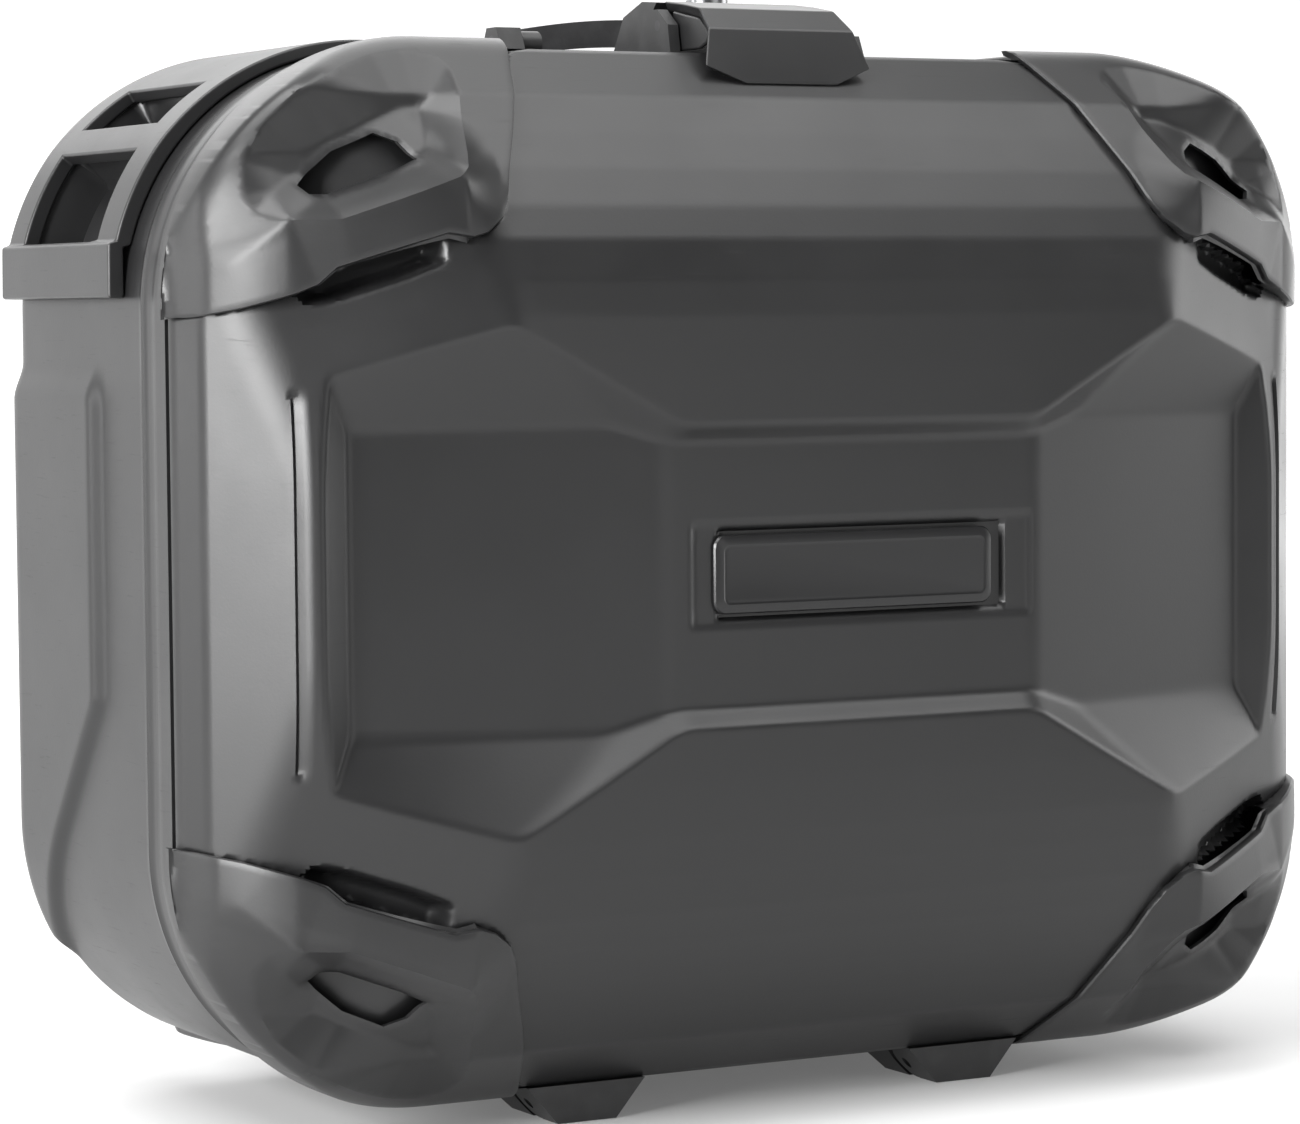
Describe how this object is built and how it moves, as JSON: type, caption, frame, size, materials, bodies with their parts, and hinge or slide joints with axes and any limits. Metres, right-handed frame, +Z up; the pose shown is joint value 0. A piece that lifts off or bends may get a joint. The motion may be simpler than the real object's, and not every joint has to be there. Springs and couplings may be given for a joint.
{
  "type": "motorcycle side case",
  "caption": "Hard plastic motorcycle side case: hinged lid with corner lashing guards, lever latch, key lock, folding carry handle and carrier mount.",
  "frame": {"origin": "middle of the footprint, on the ground that the hinges and the rear foot stand on", "axes": "+Z up, lid towards -Y, carrier side towards +Y, +X along the case's length"},
  "size_m": [0.4798, 0.2384, 0.4102],
  "materials": {
    "shell_plastic": "fine moulded grain, dark grey",
    "guard_plastic": "moulded grain, dark grey, slightly rougher",
    "fitting_plastic": "matt moulded",
    "lever_plastic": "satin moulded",
    "grip_rubber": "soft ribbed",
    "seal_rubber": "matt",
    "badge_plastic": "satin plate, blank",
    "plain_steel": "zinc plated",
    "lock_metal": "nickel plated",
    "coated_steel": "black powder coat"
  },
  "bodies": {
    "base": {"base_shell": "shell_plastic", "rim_seal": "seal_rubber", "left_base_guard": "guard_plastic", "right_base_guard": "guard_plastic", "left_hinge_block": "fitting_plastic", "right_hinge_block": "fitting_plastic", "hinge_pins": "plain_steel", "hinge_block_screws": "plain_steel", "rear_foot": "seal_rubber", "rear_foot_screw": "plain_steel", "latch_housing": "fitting_plastic", "latch_housing_screws": "plain_steel", "latch_pin": "plain_steel", "left_handle_bracket": "fitting_plastic", "right_handle_bracket": "fitting_plastic", "handle_bracket_screws": "plain_steel", "handle_pins": "plain_steel", "carrier_plate": "coated_steel", "shaft_bush": "fitting_plastic", "left_carrier_hook": "coated_steel", "right_carrier_hook": "coated_steel"},
    "lid": {"lid_shell": "shell_plastic", "badge_plate": "badge_plastic", "upper_left_corner_guard": "guard_plastic", "upper_right_corner_guard": "guard_plastic", "lower_left_corner_guard": "guard_plastic", "lower_right_corner_guard": "guard_plastic", "left_hinge_leaf": "fitting_plastic", "right_hinge_leaf": "fitting_plastic", "hinge_leaf_screws": "plain_steel", "latch_catch": "plain_steel"},
    "latch": {"latch_lever": "lever_plastic", "latch_hook": "plain_steel"},
    "lock": {"lock_barrel": "lock_metal", "lock_cam": "plain_steel"},
    "handle": {"handle_bail": "fitting_plastic", "handle_grip": "grip_rubber"},
    "claw": {"carrier_knob": "fitting_plastic", "claw_shaft": "plain_steel", "carrier_claw": "coated_steel"}
  },
  "joints": [
    {"name": "lid_hinge", "type": "hinge", "parent": "base", "child": "lid", "pos_m": [0, -0.04275, 0.0062], "axis": [1, 0, 0], "range_deg": [0, 80]},
    {"name": "latch_lever_pivot", "type": "hinge", "parent": "base", "child": "latch", "pos_m": [0, -0.02875, 0.3987], "axis": [-1, 0, 0], "range_deg": [0, 70]},
    {"name": "lock_turn", "type": "hinge", "parent": "base", "child": "lock", "pos_m": [0, -0.00675, 0.4007], "axis": [0, 0, 1], "range_deg": [0, 90]},
    {"name": "handle_fold", "type": "hinge", "parent": "base", "child": "handle", "pos_m": [0, 0.01725, 0.3937], "axis": [1, 0, 0], "range_deg": [0, 85]},
    {"name": "claw_turn", "type": "hinge", "parent": "base", "child": "claw", "pos_m": [0, 0.10525, 0.2007], "axis": [0, 1, 0], "range_deg": [0, 90]}
  ]
}
